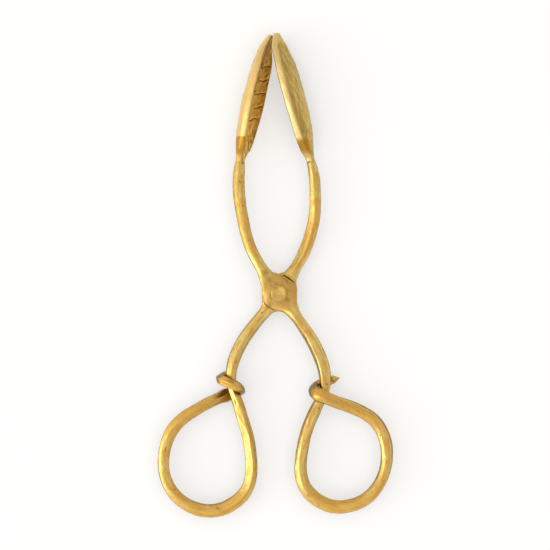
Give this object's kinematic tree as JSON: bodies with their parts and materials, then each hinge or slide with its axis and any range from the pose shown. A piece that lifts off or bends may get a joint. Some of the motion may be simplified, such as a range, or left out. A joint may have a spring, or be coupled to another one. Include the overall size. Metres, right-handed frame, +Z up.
{
  "type": "scissor-action serving tongs",
  "caption": "Scissor-action serving tongs in hand-worked brass: cupped leaf jaws, bowed bars that cross at a rivet, and finger loops closed by wrapped tails.",
  "frame": {"origin": "under the middle of the tongs' bounding box, on the surface that they lie on", "axes": "+Y along the tongs towards the jaw tips, +X across the two finger loops, +Z up, square to the plane in which the arms swing"},
  "size_m": [0.0954, 0.1968, 0.0183],
  "materials": {
    "bar_brass": "hand-worked and polished, soft facets, brown in the creases",
    "jaw_brass": "cast, polished rim, darker grained faces, fire-stained neck",
    "rivet_brass": "peened, dull"
  },
  "bodies": {
    "rear_half": {"arm_rear": "bar_brass", "jaw_right": "jaw_brass", "pivot_rivet": "rivet_brass"},
    "front_half": {"arm_front": "bar_brass", "jaw_left": "jaw_brass"}
  },
  "joints": [
    {"name": "pivot", "type": "hinge", "parent": "rear_half", "child": "front_half", "pos_m": [0.00168, -0.0072, 0.00913], "axis": [0, 0, 1], "range_deg": [0, 60]}
  ]
}
